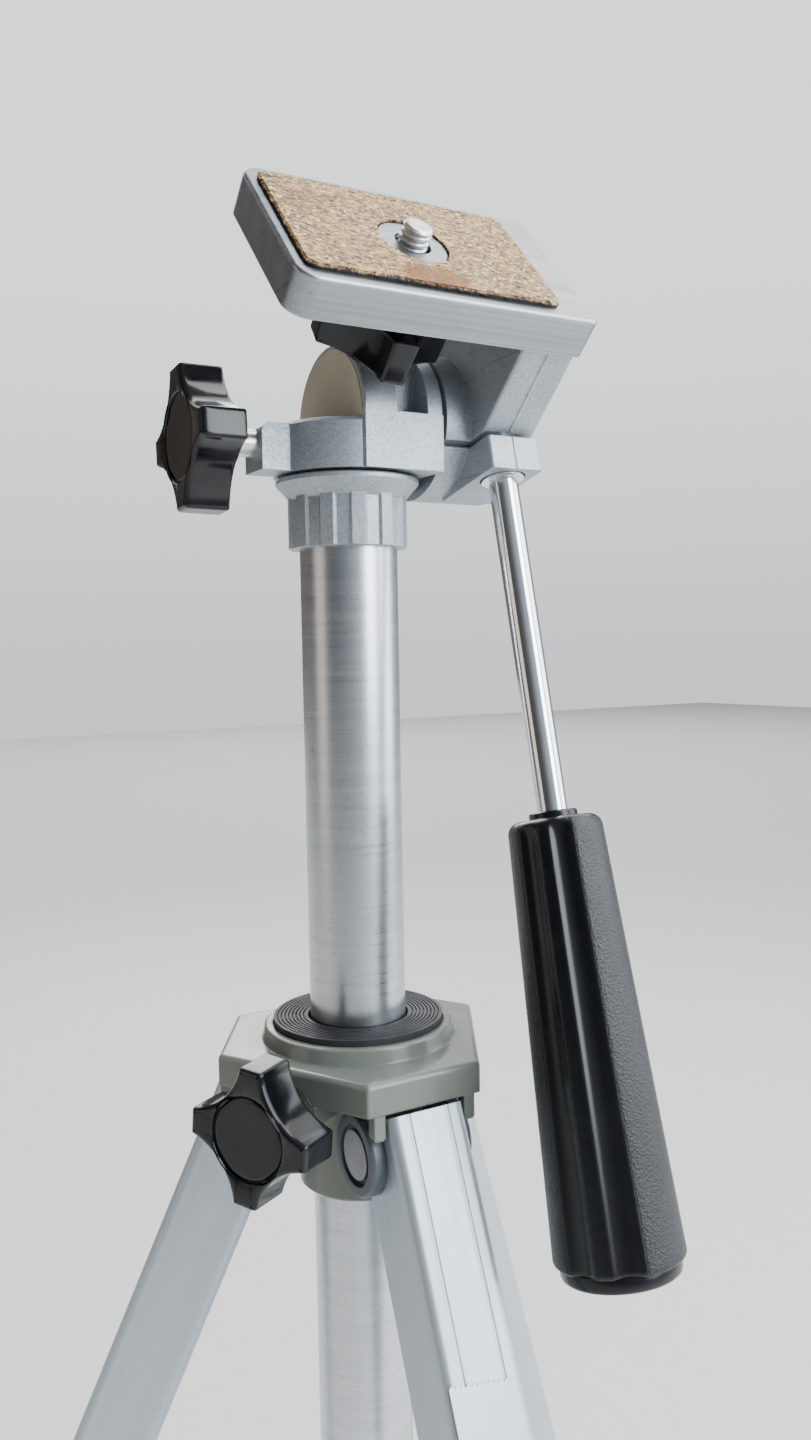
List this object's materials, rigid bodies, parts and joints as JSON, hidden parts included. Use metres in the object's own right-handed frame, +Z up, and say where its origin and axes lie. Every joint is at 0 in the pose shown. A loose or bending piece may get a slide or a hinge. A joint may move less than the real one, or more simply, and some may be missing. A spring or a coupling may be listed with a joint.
{
  "type": "camera tripod",
  "caption": "Folding tripod for a film camera: telescopic legs with flip locks, sliding centre column, pan and tilt head with a long handle, cork-topped plate and a captive screw.",
  "frame": {"origin": "on the floor, on the centre column's axis, with the legs spread and both sections in", "axes": "+Z up along the column; -Y is the operator's side, where the handle hangs; X is the tilt axis, with the pan knob at -X"},
  "size_m": [0.3754, 0.326, 0.6152],
  "materials": {
    "casting": "fine sparkly silver paint on a die casting",
    "zinc_steel": "bright zinc plating",
    "trunnion_steel": "turned and oiled",
    "knob_plastic": "glossy black with fine scratches",
    "label": "blank cream paper",
    "plate_aluminium": "brushed lengthwise",
    "cork": "granular cork, worn",
    "chrome": "polished",
    "grip_plastic": "black leather grain",
    "column_aluminium": "satin with fine rings",
    "black_plastic": "black moulded",
    "canopy_plastic": "olive-grey, semi-gloss, scuffed",
    "rubber": "black, dusty",
    "cheek_plastic": "blue-grey moulded",
    "leg_aluminium": "satin bluish-white anodised, extruded lines"
  },
  "bodies": {
    "root": {"canopy": "canopy_plastic", "rubber_ring": "rubber", "leg_spider": "canopy_plastic"},
    "column": {"center_column": "column_aluminium", "column_end_cap": "black_plastic", "head_base": "casting"},
    "column_knob": {"column_lock_screw": "zinc_steel", "column_lock_knob": "knob_plastic"},
    "pan_head": {"pan_body": "casting", "tilt_trunnion": "trunnion_steel", "trunnion_screw": "zinc_steel", "blank_label": "label"},
    "pan_lock": {"pan_lock_screw": "zinc_steel", "pan_knob": "knob_plastic"},
    "tilt_head": {"tilt_bracket": "casting", "clamp_jaw": "casting", "camera_platform": "plate_aluminium", "platform_screws": "zinc_steel", "cork_pad": "cork"},
    "handle": {"handle_rod": "chrome", "handle_grip": "grip_plastic", "grip_end_cap": "grip_plastic"},
    "camera_screw_set": {"camera_screw": "zinc_steel", "screw_knob": "knob_plastic"},
    "front_leg": {"front_leg_head": "cheek_plastic", "front_leg_pin": "zinc_steel", "front_upper_tube": "leg_aluminium", "front_upper_lock": "canopy_plastic"},
    "front_middle": {"front_middle_glide": "black_plastic", "front_middle_tube": "leg_aluminium", "front_lower_lock": "canopy_plastic"},
    "front_lower": {"front_lower_glide": "black_plastic", "front_lower_tube": "leg_aluminium", "front_foot": "rubber"},
    "front_upper_flip": {"front_upper_lever": "black_plastic"},
    "front_lower_flip": {"front_lower_lever": "black_plastic"},
    "right_leg": {"right_leg_head": "cheek_plastic", "right_leg_pin": "zinc_steel", "right_upper_tube": "leg_aluminium", "right_upper_lock": "canopy_plastic"},
    "right_middle": {"right_middle_glide": "black_plastic", "right_middle_tube": "leg_aluminium", "right_lower_lock": "canopy_plastic"},
    "right_lower": {"right_lower_glide": "black_plastic", "right_lower_tube": "leg_aluminium", "right_foot": "rubber"},
    "right_upper_flip": {"right_upper_lever": "black_plastic"},
    "right_lower_flip": {"right_lower_lever": "black_plastic"},
    "left_leg": {"left_leg_head": "cheek_plastic", "left_leg_pin": "zinc_steel", "left_upper_tube": "leg_aluminium", "left_upper_lock": "canopy_plastic"},
    "left_middle": {"left_middle_glide": "black_plastic", "left_middle_tube": "leg_aluminium", "left_lower_lock": "canopy_plastic"},
    "left_lower": {"left_lower_glide": "black_plastic", "left_lower_tube": "leg_aluminium", "left_foot": "rubber"},
    "left_upper_flip": {"left_upper_lever": "black_plastic"},
    "left_lower_flip": {"left_lower_lever": "black_plastic"}
  },
  "joints": [
    {"name": "column_slide", "type": "slide", "parent": "root", "child": "column", "axis": [0, 0, 1], "range_m": [-0.105, 0.164]},
    {"name": "column_lock_turn", "type": "hinge", "parent": "root", "child": "column_knob", "pos_m": [-0.02944, -0.017, 0.42268], "axis": [-0.866, -0.5, 0], "range_deg": [-270, 15]},
    {"name": "pan_turn", "type": "hinge", "parent": "column", "child": "pan_head", "pos_m": [0, 0, 0.55908], "axis": [0, 0, 1], "continuous": true},
    {"name": "pan_lock_turn", "type": "hinge", "parent": "pan_head", "child": "pan_lock", "pos_m": [-0.034, 0, 0.56508], "axis": [-1, 0, 0], "range_deg": [-270, 15]},
    {"name": "tilt_turn", "type": "hinge", "parent": "pan_head", "child": "tilt_head", "pos_m": [0.024, 0, 0.57128], "axis": [1, 0, 0], "range_deg": [-137, 5]},
    {"name": "handle_twist", "type": "hinge", "parent": "tilt_head", "child": "handle", "pos_m": [0.0295, -0.01469, 0.57475], "axis": [0, -0.23, -0.9732], "range_deg": [-270, 10]},
    {"name": "camera_screw_turn", "type": "hinge", "parent": "tilt_head", "child": "camera_screw_set", "pos_m": [-0.0012, -0.02288, 0.59074], "axis": [0, -0.7308, 0.6826], "continuous": true},
    {"name": "front_leg_fold", "type": "hinge", "parent": "root", "child": "front_leg", "pos_m": [0, -0.0206, 0.41348], "axis": [1, 0, 0], "range_deg": [0, 23.2]},
    {"name": "front_middle_slide", "type": "slide", "parent": "front_leg", "child": "front_middle", "axis": [0, -0.3939, -0.9191], "range_m": [0, 0.335]},
    {"name": "front_lower_slide", "type": "slide", "parent": "front_middle", "child": "front_lower", "axis": [0, -0.3939, -0.9191], "range_m": [0, 0.345]},
    {"name": "front_upper_flip", "type": "hinge", "parent": "front_leg", "child": "front_upper_flip", "pos_m": [0, -0.17995, 0.09119], "axis": [1, 0, 0], "range_deg": [-95, 0]},
    {"name": "front_lower_flip", "type": "hinge", "parent": "front_middle", "child": "front_lower_flip", "pos_m": [0, -0.19599, 0.0502], "axis": [1, 0, 0], "range_deg": [-95, 0]},
    {"name": "right_leg_fold", "type": "hinge", "parent": "root", "child": "right_leg", "pos_m": [0.01784, 0.0103, 0.41348], "axis": [-0.5, 0.866, 0], "range_deg": [0, 23.2]},
    {"name": "right_middle_slide", "type": "slide", "parent": "right_leg", "child": "right_middle", "axis": [0.3412, 0.197, -0.9191], "range_m": [0, 0.335]},
    {"name": "right_lower_slide", "type": "slide", "parent": "right_middle", "child": "right_lower", "axis": [0.3412, 0.197, -0.9191], "range_m": [0, 0.345]},
    {"name": "right_upper_flip", "type": "hinge", "parent": "right_leg", "child": "right_upper_flip", "pos_m": [0.15584, 0.08997, 0.09119], "axis": [-0.5, 0.866, 0], "range_deg": [-95, 0]},
    {"name": "right_lower_flip", "type": "hinge", "parent": "right_middle", "child": "right_lower_flip", "pos_m": [0.16974, 0.098, 0.0502], "axis": [-0.5, 0.866, 0], "range_deg": [-95, 0]},
    {"name": "left_leg_fold", "type": "hinge", "parent": "root", "child": "left_leg", "pos_m": [-0.01784, 0.0103, 0.41348], "axis": [-0.5, -0.866, 0], "range_deg": [0, 23.2]},
    {"name": "left_middle_slide", "type": "slide", "parent": "left_leg", "child": "left_middle", "axis": [-0.3412, 0.197, -0.9191], "range_m": [0, 0.335]},
    {"name": "left_lower_slide", "type": "slide", "parent": "left_middle", "child": "left_lower", "axis": [-0.3412, 0.197, -0.9191], "range_m": [0, 0.345]},
    {"name": "left_upper_flip", "type": "hinge", "parent": "left_leg", "child": "left_upper_flip", "pos_m": [-0.15584, 0.08997, 0.09119], "axis": [-0.5, -0.866, 0], "range_deg": [-95, 0]},
    {"name": "left_lower_flip", "type": "hinge", "parent": "left_middle", "child": "left_lower_flip", "pos_m": [-0.16974, 0.098, 0.0502], "axis": [-0.5, -0.866, 0], "range_deg": [-95, 0]}
  ]
}
